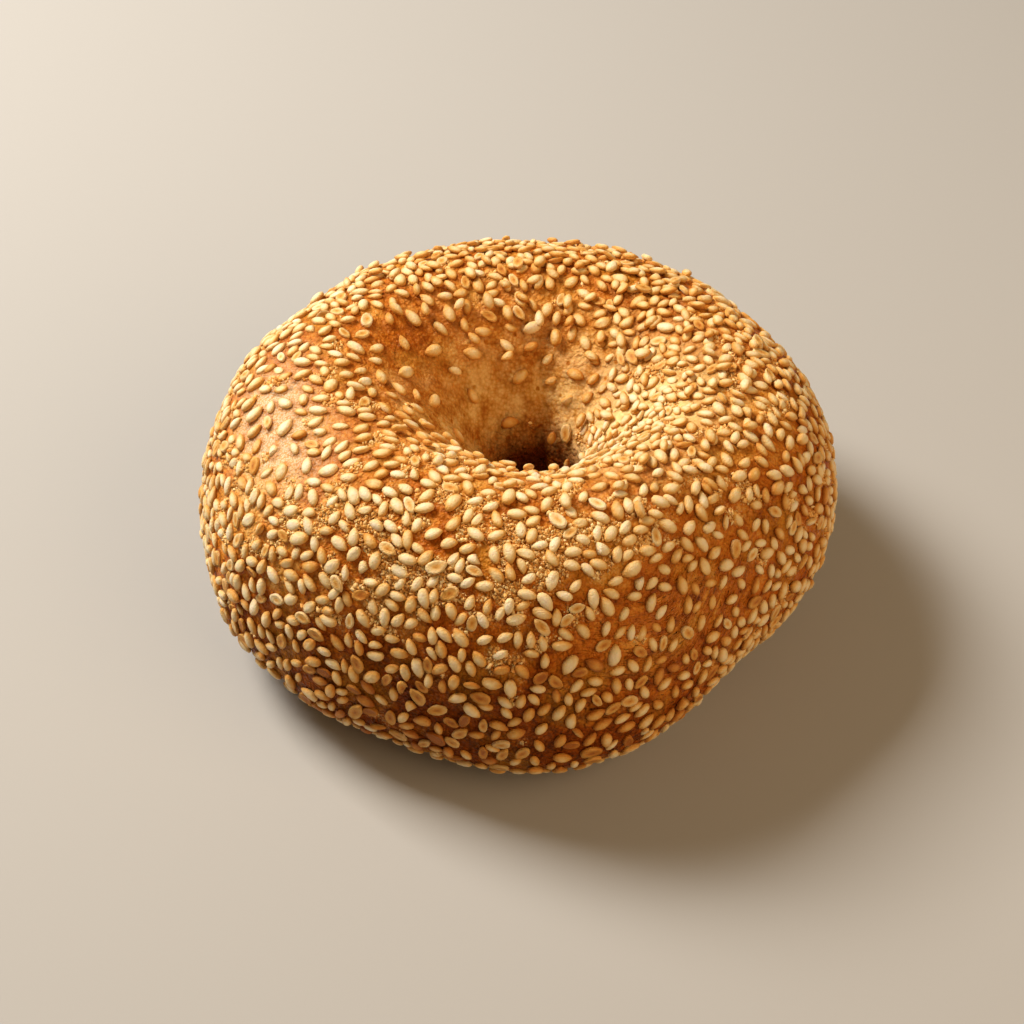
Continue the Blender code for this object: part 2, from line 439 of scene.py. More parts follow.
deepest, away = overlaps(kept, discs, sizes)
draw = np.random.default_rng(LAY_DRAW + 1)
tries = np.setdiff1d(np.arange(SEED_COUNT, UPPER_LAYER_TRIES), kept)
piled = by_zone(SEED_PILES, azimuth[tries], turn[tries]) - 0.06
upper = []
for index in tries[draw.random(len(tries)) < piled]:
    if all(np.linalg.norm(seat[index] - seat[other]) > UPPER_LAYER_GAP for other in upper):
        upper.append(index)
laid = np.concatenate((kept, upper))
azimuth, turn, length, width, seat, out, along = (
    values[laid] for values in (azimuth, turn, length, width, seat, out, along)
)
print("seeds in all:", len(laid), "of them on top:", len(upper))

# %% [markdown]
# Each seed gets its own small tilt, more about its length than end over end, and a few roll onto their
# side. It is sunk into the dough by a share of its thickness, deepest where the dough was stretched and
# in the hole's wall.

# %% Lay the seeds down
THICKNESS_SHARES = (0.33, 0.43)
SUNK_MEAN, SUNK_SPREAD = 0.22, 0.07
SUNK_LIMITS = (0.08, 0.4)
SUNK_IN_GLAZE = 0.18
SUNK_IN_WALL = 0.16
LIFT_PER_OVERLAP = 0.6
UPPER_LAYER_LIFT = 0.715 * MM
SMALL_TILT = 0.07
ROLLED_SHARE = 0.1
ROLLED_TILT = 0.42
UPPER_TILT = 0.18
TILT_LIMIT = 0.6
LEVELLED = 0.75
LEAN_PER_MM = 0.32
SMALLER_IN_WALL = 0.14


def along_part(vectors, ways):
    """The part of each vector that lies along its way."""
    return ways * np.sum(vectors * ways, axis=1, keepdims=True)


draw = np.random.default_rng(LAY_DRAW)
first_layer = slice(None, len(kept))
upper_seeds = slice(len(kept), None)
thickness = draw.uniform(*THICKNESS_SHARES, len(laid)) * length
sunk = np.clip(draw.normal(SUNK_MEAN, SUNK_SPREAD, len(laid)), *SUNK_LIMITS)
sunk += SUNK_IN_GLAZE * zone("streaked_flank", azimuth, turn) + SUNK_IN_WALL * sparse_wall(azimuth, turn)
lift = thickness * (0.5 - sunk)
lift[first_layer] += LIFT_PER_OVERLAP * deepest
lift[upper_seeds] += UPPER_LAYER_LIFT
tilt = draw.normal(0, SMALL_TILT, (len(laid), 3))
tilt[draw.random(len(laid)) < ROLLED_SHARE] *= ROLLED_TILT / SMALL_TILT
tilt -= LEVELLED * along_part(tilt, along)
tilt[first_layer] += away / MM * LEAN_PER_MM
tilt[upper_seeds] += draw.normal(0, UPPER_TILT, (len(upper), 3))
seed_out = unit(out + np.clip(tilt, -TILT_LIMIT, TILT_LIMIT))
seed_along = unit(along - along_part(along, seed_out))
seed_middle = seat + out * lift[:, None]
smaller = 1 - SMALLER_IN_WALL * zone("seeded_wall", azimuth, turn)
seed_size = np.stack((length, width * length, thickness), axis=1) * smaller[:, None]
print("seed size, mm:", np.round(seed_size.mean(axis=0) / MM, 2))

# %% [markdown]
# A sesame seed is a flat drop: round at one end, drawn to a blunt tip at the other, with a softly domed
# top. One is shaped from a low sphere. From it come the kinds: plump ones, hollow ones whose top
# sank in as they toasted and left a raised rim, creased ones, and broken ones. Each has only sixty faces,
# as there are thousands.

# %% Model the kinds of seed
SEED_SIDES = 12
SEED_RINGS = 5


def in_edit_mode(piece, rule, operator, **settings):
    """Select the points that a rule picks, and use one operator on them."""
    bpy.ops.object.mode_set(mode="EDIT")
    bpy.ops.mesh.select_mode(type="VERT")
    bpy.ops.mesh.select_all(action="DESELECT")
    bpy.ops.object.mode_set(mode="OBJECT")
    for corner in piece.data.vertices:
        corner.select = bool(rule(corner.co))
    bpy.ops.object.mode_set(mode="EDIT")
    operator(**settings)
    bpy.ops.object.mode_set(mode="OBJECT")


def add_kernel(tip):
    """A flat drop one unit long like a pillow. Its tip at +X is drawn in to this width."""
    bpy.ops.object.select_all(action="DESELECT")
    bpy.ops.mesh.primitive_uv_sphere_add(segments=SEED_SIDES, ring_count=SEED_RINGS, radius=0.5)
    kernel = bpy.context.object
    pulls = (
        (lambda co: abs(co.z) > 0.3, (1.13, 1.13, 0.92)),
        (lambda co: co.x > 0.1, (1.02, 0.92, 0.94)),
        (lambda co: co.x > 0.3, (1.02, tip, 0.85)),
        (lambda co: co.x > 0.46, (1.03, 1, 0.8)),
        (lambda co: co.x < -0.38, (0.98, 1.12, 1)),
    )
    for rule, scale in pulls:
        in_edit_mode(kernel, rule, bpy.ops.transform.resize, value=scale, center_override=(0, 0, 0))
    return kernel


def hollow_kernel(tip):
    """Toasted hard: the top has sunk in and the rim stands up."""
    kernel = add_kernel(tip)
    move = bpy.ops.transform.translate
    in_edit_mode(kernel, lambda co: co.z > 0.3, move, value=(0, 0, -0.16))
    in_edit_mode(kernel, lambda co: 0.1 < co.z < 0.18, move, value=(0, 0, 0.16))
    return kernel


def creased_kernel(tip):
    """One side of the top is pressed down, which leaves a ridge along the seed."""
    kernel = add_kernel(tip)
    move = bpy.ops.transform.translate
    in_edit_mode(kernel, lambda co: co.z > 0.2 and co.y > 0.05, move, value=(0, 0.02, -0.2))
    return kernel


def broken_kernel(tip):
    """The round half of a seed that snapped across."""
    kernel = add_kernel(tip)
    bpy.ops.object.mode_set(mode="EDIT")
    bpy.ops.mesh.select_all(action="SELECT")
    bpy.ops.mesh.bisect(plane_co=(0.12, 0, 0), plane_no=(1, 0.35, 0.2), clear_outer=True, use_fill=True)
    bpy.ops.object.mode_set(mode="OBJECT")
    return kernel


def take_shape(kernel):
    """Points, corners in face order and face sizes of a model, which is then removed."""
    mesh = kernel.data
    points = np.empty((len(mesh.vertices), 3))
    mesh.vertices.foreach_get("co", points.ravel())
    corners = np.empty(len(mesh.loops), int)
    mesh.loops.foreach_get("vertex_index", corners)
    face_sizes = np.array([face.loop_total for face in mesh.polygons])
    bpy.data.objects.remove(kernel)
    bpy.data.meshes.remove(mesh)
    return points, corners, face_sizes


def in_fixed_order(points, corners, face_sizes):
    """The same shape sorted and rounded, as the order and last digits of a model differ each run."""
    points = points.round(5)
    order = np.lexsort(points.T)
    faces = []
    for face in np.split(np.argsort(order)[corners], np.cumsum(face_sizes)[:-1]):
        step = 2 if len(face) == 4 else 1  # A face of four keeps its diagonal.
        faces.append(np.roll(face, -step * face[::step].argmin()).tolist())
    faces.sort()
    return points[order], np.concatenate(faces), np.array([len(face) for face in faces])


KINDS = {
    "seeds_plump": (add_kernel, 0.78, 0.44),
    "seeds_broad": (add_kernel, 0.94, 0.22),
    "seeds_hollow": (hollow_kernel, 0.76, 0.16),
    "seeds_creased": (creased_kernel, 0.7, 0.16),
    "seeds_broken": (broken_kernel, 0.78, 0.02),
}
shapes = {kind: in_fixed_order(*take_shape(make(tip))) for kind, (make, tip, _) in KINDS.items()}
print({kind: len(shape[2]) for kind, shape in shapes.items()}, "faces each")

# %% [markdown]
# Hollow seeds are the toasted ones, so they are more common low on the front. A seed's tone is 0 for
# cream,
# 0.5 for golden and 1 for dark toast. Low on the front, seeds are darker, partly toasted and partly with
# painted shade, and seeds on the far crest and on the right side are darker as well.

# %% Share out kinds and tones
KIND_DRAW = 45
PALE_TONE = 0.13
TONE_SPREAD = 0.09
TONE_IN_BARE_WALL = 0.42
TONE_ON_RIGHT = 0.07
# Low on the front the seed tone is raised partly for toasting and partly as painted shade.
TONE_AND_SHADE_BY_ZONE = {"far_crest": 0.13, "low_front": 0.27, "streaked_flank": 0.06, "seeded_wall": -0.08}
TOASTED_SHARE = 0.11
TOASTED_TONES = (0.14, 0.42)
HOLLOW_FROM_TONE = 0.36
HOLLOW_IF_TOASTED = 0.7

draw = np.random.default_rng(KIND_DRAW)
count = len(laid)
low = zone("low_front", azimuth, turn)
sheltered = (np.arange(count) >= len(kept)) | (zone("wall", azimuth, turn) > 0.3)
tone = PALE_TONE + by_zone(TONE_AND_SHADE_BY_ZONE, azimuth, turn) + TONE_IN_BARE_WALL * sparse_wall(azimuth, turn)
tone += TONE_ON_RIGHT * np.clip(np.cos(azimuth), 0, 1)
# Low on the front seeds vary more and toast more often: partly real toasting, partly painted shade.
tone += draw.normal(0, TONE_SPREAD, count) * (1 + 0.6 * low)
toasted = (draw.random(count) < TOASTED_SHARE + 0.3 * low) & ~sheltered
tone += draw.uniform(*TOASTED_TONES, count) * (0.6 + 0.4 * low) * toasted
seed_tone_and_shade = np.clip(tone, 0, 1)
shares = np.array([share for *_, share in KINDS.values()])
plump, hollow = (list(KINDS).index(kind) for kind in ("seeds_plump", "seeds_hollow"))
seed_kind = draw.choice(len(shares), count, p=shares / shares.sum())
seed_kind[(seed_kind == hollow) & (seed_tone_and_shade < HOLLOW_FROM_TONE)] = plump
seed_kind[toasted & (draw.random(count) < HOLLOW_IF_TOASTED)] = hollow
print({kind: int((seed_kind == number).sum()) for number, kind in enumerate(KINDS)})

# %% [markdown]
# All seeds of one kind become one mesh. No seed goes below the table, so those underneath are raised to
# rest on it. Three numbers travel with each point for the colours: how far along the seed it is, how near
# the rim, and the seed's tone.

# %% Join the seeds of each kind
def build_mesh(name, points, corners, face_sizes):
    """A new object from arrays, shaded smooth."""
    mesh = bpy.data.meshes.new(name)
    mesh.vertices.add(len(points))
    mesh.vertices.foreach_set("co", points.astype(np.float32).ravel())
    mesh.loops.add(len(corners))
    mesh.loops.foreach_set("vertex_index", corners.astype(np.int32))
    mesh.polygons.add(len(face_sizes))
    starts = np.concatenate(([0], np.cumsum(face_sizes)[:-1]))
    mesh.polygons.foreach_set("loop_start", starts.astype(np.int32))
    mesh.update(calc_edges=True)
    mesh.validate()
    mesh.shade_smooth()
    piece = bpy.data.objects.new(name, mesh)
    bpy.context.scene.collection.objects.link(piece)
    return piece


def repeat_shape(name, shape, middles, frames, sizes, bends, uneven=0.0):
    """Many copies of one shape as one mesh, and the shape's own points repeated for each copy."""
    points, corners, face_sizes = shape
    count = len(middles)
    own = np.repeat(points[None], count, axis=0)
    bent = own + np.random.default_rng(count).normal(0, uneven, own.shape)
    bow = own[..., :1] ** 2 - 0.1
    bent[..., 1:] += bends[:, None] * bow
    placed = np.einsum("nij,nkj->nki", frames, bent * sizes[:, None]) + middles[:, None]
    placed[..., 2] += np.maximum(-placed[..., 2].min(axis=1), 0)[:, None]
    shift = np.arange(count)[:, None] * len(points)
    all_corners = (corners[None] + shift).ravel()
    piece = build_mesh(name, placed.reshape(-1, 3), all_corners, np.tile(face_sizes, count))
    return piece, own.reshape(-1, 3)


def add_vector(piece, name, values):
    """Store three numbers on each point."""
    layer = piece.data.attributes.new(name, "FLOAT_VECTOR", "POINT")
    layer.data.foreach_set("vector", np.asarray(values, np.float32).ravel())


SEED_BENDS = (0.22, 0.12)
seed_frames = np.stack((seed_along, np.cross(seed_out, seed_along), seed_out), axis=2)
seed_bends = np.random.default_rng(KIND_DRAW + 1).normal(0, SEED_BENDS, (len(laid), 2))
seed_pieces = []
for number, kind in enumerate(KINDS):
    of_kind = seed_kind == number
    poses = [values[of_kind] for values in (seed_middle, seed_frames, seed_size, seed_bends)]
    piece, own = repeat_shape(kind, shapes[kind], *poses)
    rim = np.clip(np.hypot(own[:, 0], own[:, 1]) * 2, 0, 1)
    if kind == "seeds_hollow":
        rim = 1.12 - rim
    tones = np.repeat(seed_tone_and_shade[of_kind], len(own) // int(of_kind.sum()))
    add_vector(piece, "seed", np.stack((own[:, 0], rim, tones), axis=1))
    seed_pieces.append(piece)
    print(kind, "faces:", len(piece.data.polygons))

# %% [markdown]
# Now the crust itself. Dough creeps up the foot of every seed. Between the seeds it is wrinkled and
# pimpled, the flank is drawn into streaks, and the hole's wall is open like the crumb of bread, with
# small pits. All of it is worked into the points. The flat underside stays a hair above the table, so
# that its seeds carry the bagel.

# %% Relief of the crust
MENISCUS_HEIGHT = 0.16 * MM
MENISCUS_REACH = 0.45 * MM
WRINKLE_SIZE = 4.2 * MM
WRINKLE_HEIGHT = 0.3 * MM
PIMPLE_SIZE = 1.3 * MM
PIMPLE_HEIGHT = 0.1 * MM
STREAK_HEIGHT = 0.4 * MM
STRETCHED_LUMP = 0.2 * MM
STRETCHED_LUMP_SIZE = 2.1 * MM
FOLD_HEIGHT = 0.45 * MM
FOLD_SIZE = 2.4
STREAK_BEND = math.radians(-60)
STREAK_TURN = 0.25
STREAK_SLOPES = (0.32, 0.68)
STREAK_LENGTH, STREAK_CLOSENESS = 7, 26
PIT_SIZE = 2.6 * MM
PIT_DEPTH = 0.6 * MM
PIT_PATCHES = 5 * MM
UNDER_SEED = 0.6 * MM
UNDERSIDE_GAP = 0.2 * MM


def gap_to_seeds(points):
    """How far each point is from the edge of the nearest seed disc, below 0 under a seed."""
    tree = search_tree(discs[kept].reshape(-1, 3).tolist())
    radii = sizes[kept].ravel()
    gaps = []
    for point in points.tolist():
        _, index, gap = tree.find(point)
        gaps.append(gap - radii[index])
    return np.array(gaps)


def pits(points):
    """Round pits of uneven depth, from 0 to 1."""
    found = [noise.voronoi(Vector(p))[0][0] for p in (points / PIT_SIZE).tolist()]
    return np.clip(1 - np.array(found) / 0.42, 0, 1) ** 1.3


def streak_place(azimuth, turn):
    """A place that runs slowly along the streaks and fast across them."""
    past = remainder(azimuth - STREAK_BEND, 2 * np.pi)
    slope, bend = STREAK_SLOPES
    lean = remainder(turn - STREAK_TURN, 5) - slope * past - bend * np.sqrt(past**2 + 0.004)
    round_ring = STREAK_LENGTH * np.array((np.cos(azimuth), np.sin(azimuth)))
    return np.stack((*round_ring, STREAK_CLOSENESS * lean), axis=1)


def wall_share(*place):
    """The whole wall of the hole, with seeds or without."""
    return np.maximum(zone("wall", *place), zone("seeded_wall", *place))


def seed_foot(gap):
    """1 under a seed and at its edge, and 0 a little away from it."""
    return np.exp(-(np.maximum(gap, 0) / MENISCUS_REACH) ** 2)


def relief_at(points, gap, *place):
    """How far the crust stands out from the dough's smooth skin."""
    bare = zone("bare_shoulder", *place)
    streaks = noise_at(streak_place(*place), 1.0, 2)
    foot = seed_foot(gap)
    relief = WRINKLE_HEIGHT * noise_at(points, WRINKLE_SIZE, 3) * (1 - 0.6 * bare)
    relief += PIMPLE_HEIGHT * noise_at(points, PIMPLE_SIZE, 2) * (1 - 0.5 * bare)
    lumps = STREAK_HEIGHT * streaks + STRETCHED_LUMP * noise_at(points, STRETCHED_LUMP_SIZE)
    lumps += FOLD_HEIGHT * noise_at(streak_place(*place), FOLD_SIZE)
    relief += lumps * zone("streaked_flank", *place)
    open_crumb = wall_share(*place) * np.clip(0.6 + noise_at(points, PIT_PATCHES), 0, 1)
    relief -= PIT_DEPTH * open_crumb * pits(points)
    relief = relief * (1 - 0.6 * foot) + MENISCUS_HEIGHT * foot
    relief *= np.clip(1 + gap / UNDER_SEED, 0, 1)
    return relief * np.clip(points[:, 2] / (2 * MM), 0, 1)


crust_gap = gap_to_seeds(crust_skin)
relief = relief_at(crust_skin, crust_gap, crust_azimuth, crust_turn)
crust_points = crust_skin + crust_out * relief[:, None]
crust_points[:, 2] = np.maximum(crust_points[:, 2], UNDERSIDE_GAP)
crust.data.vertices.foreach_set("co", crust_points.astype(np.float32).ravel())
crust.data.update()
crust.data.shade_smooth()
print("relief, mm:", np.round(np.percentile(relief, (0, 5, 50, 95, 100)) / MM, 2))

# %% [markdown]
# The crust's colour follows the oven as well, with painted shade laid over it: darker low on the front,
# round the foot of each seed and deep in the hole's throat. Bake is 0 for pale crumb and 1 for the darkest
# brown, with that painted shade added in. Powder is the fine dry bloom on the bare shoulder, and wall is
# the open crumb in the hole.

# %% Colour guides of the crust
USUAL_BAKE = 0.49
# Low on the front the crust is darker, partly baked deeper and partly as painted shade.
BAKE_AND_SHADE_BY_ZONE = {
    "low_front": 0.34, "far_crest": -0.02, "dark_patch": 0.27, "red_lip": 0.06,
    "streaked_flank": -0.2, "pale_flank": -0.3, "front_lip": -0.15,
}
# Darker crust round each seed's foot: partly oil and partly painted shade where the seed shades the crust.
BAKE_AND_SHADE_AT_SEED_FOOT = 0.17
BAKE_DRIFT = 0.12
BAKE_DRIFT_SIZE = 7 * MM
DARKEST_OUTSIDE = 0.84
# Painted shade deep in the hole's throat.
PAINTED_SHADE_DEEP_DOWN = 0.5
CRUMB_CLUSTER = 4.6 * MM
CRUMBS_BY_ZONE = {
    "crumbed_top": 0.68, "crumbed_lip": 0.5, "front_lip": 0.46, "pale_flank": 0.24,
    "seeded_wall": 0.3, "bare_shoulder": -0.3, "low_front": -0.3, "red_lip": -0.5,
}


def crumb_level(points, *place):
    """How much bloom the skin has. Crumbs lie where this is above 0."""
    swept = np.maximum(sparse_wall(*place), zone("streaked_flank", *place))
    likely = by_zone(CRUMBS_BY_ZONE, *place) - 0.6 * swept
    return noise_at(points, CRUMB_CLUSTER, 2) + likely - 0.4


place = (crust_azimuth, crust_turn)
foot = seed_foot(crust_gap)
# Deep in the hole's throat the crust is painted darker and its open-crumb colour fades out: painted shade
# where little light reaches.
deep_shade = np.clip((crust_turn - 1.6) / 0.25, 0, 1) * np.clip((2.8 - crust_turn) / 0.5, 0, 1)
bake_and_shade = USUAL_BAKE + by_zone(BAKE_AND_SHADE_BY_ZONE, *place) + BAKE_AND_SHADE_AT_SEED_FOOT * foot
bake_and_shade = np.minimum(bake_and_shade + BAKE_DRIFT * noise_at(crust_skin, BAKE_DRIFT_SIZE, 3), DARKEST_OUTSIDE)
bake_and_shade += PAINTED_SHADE_DEEP_DOWN * deep_shade
# Round each seed's foot the powder and the bloom thin out, so the darker orange crust shows there as
# painted shade.
bare = np.clip(1.5 * zone("bare_shoulder", *place), 0, 1) * (1 - 0.6 * foot)
open_wall = np.clip(1.25 * wall_share(*place), 0, 1) * (1 - deep_shade)
open_wall *= 1 - 0.9 * zone("red_lip", *place)
crumbed = np.clip(1.8 * crumb_level(crust_skin, *place) + 0.5, 0, 1) * (1 - 0.5 * foot)
# The third mask marks the seeded side of the wall, which the crust paints paler as painted light.
masks = (zone("streaked_flank", *place), crumbed, zone("seeded_wall", *place))
add_vector(crust, "skin", np.stack((bake_and_shade, bare, open_wall), axis=1))
add_vector(crust, "mask", np.stack(masks, axis=1))
add_vector(crust, "streak", streak_place(*place))
print("bake from", round(bake_and_shade.min(), 2), "to", round(bake_and_shade.max(), 2))

# %% [markdown]
# Between the seeds, and most on top of the front, lie bits of toasted bloom. They are tiny lumps of
# twenty faces, pushed out of round, in loose clusters: coarse grains, and a finer dust in between.

# %% Crumbs between the seeds
CRUMB_DRAW = 57
CRUMB_TRIES = 800000
CRUMB_KINDS = {
    "crumbs_coarse": (0.4 * MM, 0.85 * MM, 0.05 * MM),
    "crumbs_fine": (0.24 * MM, 0.44 * MM, -0.05 * MM),
}
CRUMB_LIMIT = 9500
CRUMB_UNEVEN = 0.16
CRUMB_STRETCH = (0.6, 1.4)
CRUMB_RAISED = 0.03
CRUMBS_ABOVE_TABLE = 1 * MM


def crumb_places(draw, clear):
    """Places of the crumbs on the crust, clear of the seeds, and the way out there."""
    azimuth, turn = draw_on_skin(draw, CRUMB_TRIES)
    points, out = ring_points(azimuth, turn)
    stays = np.flatnonzero(draw.random(len(points)) < 4 * crumb_level(points, azimuth, turn))
    gap = gap_to_seeds(points[stays])
    fits = (gap > clear) & (points[stays, 2] > CRUMBS_ABOVE_TABLE)
    print("crumbs that would fit:", int(fits.sum()))
    gap = gap[fits][:CRUMB_LIMIT]
    chosen = stays[fits][:CRUMB_LIMIT]
    relief = relief_at(points[chosen], gap, azimuth[chosen], turn[chosen])
    return points[chosen] + out[chosen] * relief[:, None], out[chosen]


def crumb_shape():
    """A low ball of twenty faces, one unit across."""
    bpy.ops.object.select_all(action="DESELECT")
    bpy.ops.mesh.primitive_ico_sphere_add(subdivisions=1, radius=0.5)
    ball = bpy.context.object
    in_edit_mode(ball, lambda co: co.z > 0, bpy.ops.transform.resize, value=(0.85, 0.85, 1))
    return take_shape(ball)


def add_crumbs(name, smallest, largest, clear, draw):
    """One piece of crumbs, each with its own size, turn and tone."""
    seats, outs = crumb_places(draw, clear)
    count = len(seats)
    size = draw.triangular(smallest, smallest, largest, count)[:, None]
    size = size * draw.uniform(*CRUMB_STRETCH, (count, 3))
    along = unit(np.cross(outs, draw.normal(0, 1, (count, 3))))
    frames = np.stack((along, np.cross(outs, along), outs), axis=2)
    middles = seats + outs * CRUMB_RAISED * size[:, 2:]
    straight = np.zeros((count, 2))
    piece, own = repeat_shape(name, crumb_shape(), middles, frames, size, straight, CRUMB_UNEVEN)
    tones = np.repeat(draw.uniform(0, 1, count), len(own) // count)
    add_vector(piece, "chance", tones[:, None].repeat(3, axis=1))
    print(name, count, "faces:", len(piece.data.polygons))
    return piece


draw = np.random.default_rng(CRUMB_DRAW)
crumb_pieces = [add_crumbs(name, *sizes_and_gap, draw) for name, sizes_and_gap in CRUMB_KINDS.items()]

# %% [markdown]
# Every finish on the bagel is mottled and has a fine grain. Both effects are node groups with their own
# sockets, made once and used in each material.

# %% Shared effects
def new_group(name, inputs, outputs):
    """An empty node group with float sockets, and its input and output nodes."""
    group = bpy.data.node_groups.new(name, "ShaderNodeTree")
    for socket, default in inputs.items():
        made = group.interface.new_socket(socket, in_out="INPUT", socket_type="NodeSocketFloat")
        made.default_value = default
    for socket in outputs:
        group.interface.new_socket(socket, in_out="OUTPUT", socket_type="NodeSocketFloat")
    return group, group.nodes.new("NodeGroupInput"), group.nodes.new("NodeGroupOutput")


def feed(tree, socket, value):
    """Link an input to another node's output, or set it to a steady value."""
    if isinstance(value, bpy.types.NodeSocket):
        tree.links.new(value, socket)
    else:
        socket.default_value = value


def feed_all(tree, node, **values):
    """Feed a node's inputs by their names, with _ for a space."""
    for name, value in values.items():
        feed(tree, node.inputs[name.replace("_", " ")], value)


def add_node(tree, kind, settings=None, **values):
    """A node with settings on it and with its inputs fed."""
    node = tree.nodes.new(kind)
    for name, value in (settings or {}).items():
        setattr(node, name, value)
    feed_all(tree, node, **values)
    return node


def math_node(operation, tree, first, second, clamp=False):
    """One sum of two values."""
    node = add_node(tree, "ShaderNodeMath", {"operation": operation, "use_clamp": clamp})
    feed(tree, node.inputs[0], first)
    feed(tree, node.inputs[1], second)
    return node.outputs[0]


plus, minus, times, larger = (
    partial(math_node, operation) for operation in ("ADD", "SUBTRACT", "MULTIPLY", "MAXIMUM")
)


def make_mottle():
    """Mottled tone: a value that drifts up and down over the surface."""
    group, given, result = new_group("mottle", {"Tone": 0.5, "Size per m": 500.0, "Amount": 0.2}, ["Tone"])
    where = add_node(group, "ShaderNodeTexCoord").outputs["Object"]
    scale = given.outputs["Size per m"]
    cloud = add_node(group, "ShaderNodeTexNoise", Vector=where, Scale=scale, Detail=3.0, Roughness=0.6)
    drift = times(group, minus(group, cloud.outputs["Fac"], 0.5), given.outputs["Amount"])
    total = plus(group, drift, given.outputs["Tone"], clamp=True)
    group.links.new(total, result.inputs["Tone"])
    return group


def make_grain():
    """Fine grain: small pointed bumps mixed with a finer noise, as a height from 0 to 1."""
    group, given, result = new_group("fine_grain", {"Size per m": 1500.0, "Roundness": 0.5}, ["Height"])
    where = add_node(group, "ShaderNodeTexCoord").outputs["Object"]
    scale = given.outputs["Size per m"]
    cells = add_node(group, "ShaderNodeTexVoronoi", Vector=where, Scale=scale)
    bumps = minus(group, 1.0, cells.outputs["Distance"])
    dust = add_node(group, "ShaderNodeTexNoise", Vector=where, Scale=times(group, scale, 2.3), Detail=2.0)
    roundness = given.outputs["Roundness"]
    mix = add_node(group, "ShaderNodeMix", Factor=roundness, A=dust.outputs["Fac"], B=bumps)
    group.links.new(mix.outputs[0], result.inputs["Height"])
    return group


mottle = make_mottle()
fine_grain = make_grain()
print("groups:", [group.name for group in bpy.data.node_groups])

# %% [markdown]
# Colours are given as linear red, green and blue. Bread and seeds let light in a little, which fills
# their small shadows with warm orange, so both scatter it over about a millimetre.

# %% Material helpers
WARM_REACH = (1.0, 0.42, 0.16)
WARM_SHINE = (1.0, 0.64, 0.28, 1)
CREAM_SHINE = (1.0, 0.8, 0.52, 1)


def new_material(name, roughness, scatter, reach, shine, tint=WARM_SHINE):
    """A material with its steady values set on the Principled shader's own sockets."""
    material = bpy.data.materials.new(name)
    material.use_nodes = True
    tree = material.node_tree
    shader = tree.nodes["Principled BSDF"]
    feed_all(tree, shader, Roughness=roughness, Specular_IOR_Level=shine, Specular_Tint=tint)
    feed_all(tree, shader, Subsurface_Weight=scatter, Subsurface_Scale=reach, Subsurface_Radius=WARM_REACH)
    return material, tree, shader


def add_group(tree, group, **values):
    """A node that uses one of the shared effects."""
    return add_node(tree, "ShaderNodeGroup", {"node_tree": group}, **values).outputs[0]


def grain_node(tree, size, roundness):
    """Fine grain of one size per metre."""
    return add_group(tree, fine_grain, Size_per_m=size, Roundness=roundness)


def ramp(tree, value, stops):
    """A colour ramp through (place, colour) stops."""
    node = add_node(tree, "ShaderNodeValToRGB", Fac=value)
    elements = node.color_ramp.elements
    while len(elements) < len(stops):
        elements.new(0.5)
    for element, (place, colour) in zip(elements, stops):
        element.position = place
        element.color = (*colour, 1)
    return node.outputs["Color"]


def mix_colours(tree, share, first, second):
    """Two colours mixed by a share."""
    node = add_node(tree, "ShaderNodeMix", {"data_type": "RGBA"})
    for number, value in ((0, share), (6, first), (7, second)):
        feed(tree, node.inputs[number], (*value, 1) if isinstance(value, tuple) else value)
    return node.outputs[2]


def rise(tree, value, start, end, low=0.0, high=1.0):
    """A value that goes from low to high while another goes from start to end."""
    limits = {"From_Min": start, "From_Max": end, "To_Min": low, "To_Max": high}
    return add_node(tree, "ShaderNodeMapRange", Value=value, **limits).outputs[0]


def noise_node(tree, where, scale, detail):
    """Soft noise over a place."""
    return add_node(tree, "ShaderNodeTexNoise", Vector=where, Scale=scale, Detail=detail).outputs["Fac"]


def attribute(tree, name):
    """The three numbers stored on a piece's points."""
    stored = add_node(tree, "ShaderNodeAttribute", {"attribute_name": name})
    return add_node(tree, "ShaderNodeSeparateXYZ", Vector=stored.outputs["Vector"]).outputs


def bump(tree, height, depth, under=None):
    """Height as a bump of a given depth, on top of another bump if any."""
    node = add_node(tree, "ShaderNodeBump", Height=height, Distance=depth, Strength=1.0)
    if under is not None:
        tree.links.new(under, node.inputs["Normal"])
    return node.outputs["Normal"]


# %% [markdown]
# Sesame seed: cream when raw, golden and then brown when toasted. The tip toasts first, so tone rises
# towards it. Tone rises towards the rim as well, partly from toasting and partly as painted shade on the
# seed's sides (hollow seeds darken in their sunken middle instead), and each seed is mottled a little.

# %% Seed finish
SEED_STOPS = (
    (0.0, (0.83, 0.72, 0.55)),
    (0.28, (0.79, 0.595, 0.315)),
    (0.55, (0.67, 0.35, 0.085)),
    (0.78, (0.53, 0.20, 0.028)),
    (1.0, (0.36, 0.105, 0.012)),
)


def seed_finish():
    """Satin seed coat, by the seed's own tone."""
    material, tree, shader = new_material("sesame_seed", 0.45, 0.15, 0.4 * MM, 0.36, CREAM_SHINE)
    along, rim, tone = attribute(tree, "seed")
    # Darker towards the rim: partly toasting, partly painted shade on the seed's sides.
    edge = times(tree, math_node("POWER", tree, rim, 2.2), 0.4)
    tip = times(tree, larger(tree, along, 0.0), 0.22)
    toasted = plus(tree, plus(tree, tone, edge), tip)
    mottled = add_group(tree, mottle, Tone=toasted, Size_per_m=1300.0, Amount=0.36)
    dimples = bump(tree, grain_node(tree, 1900.0, 0.3), 0.16 * MM)
    coat = bump(tree, grain_node(tree, 4500.0, 0.4), 0.06 * MM, dimples)
    feed_all(tree, shader, Base_Color=ramp(tree, mottled, SEED_STOPS), Normal=coat)
    return material


# %% [markdown]
# The crust is painted in layers, as it forms: brown glaze with golden patches first, then gritty bloom
# where crumbs lie, powder on the bare shoulder, and the open crumb of the hole's wall with its pores.

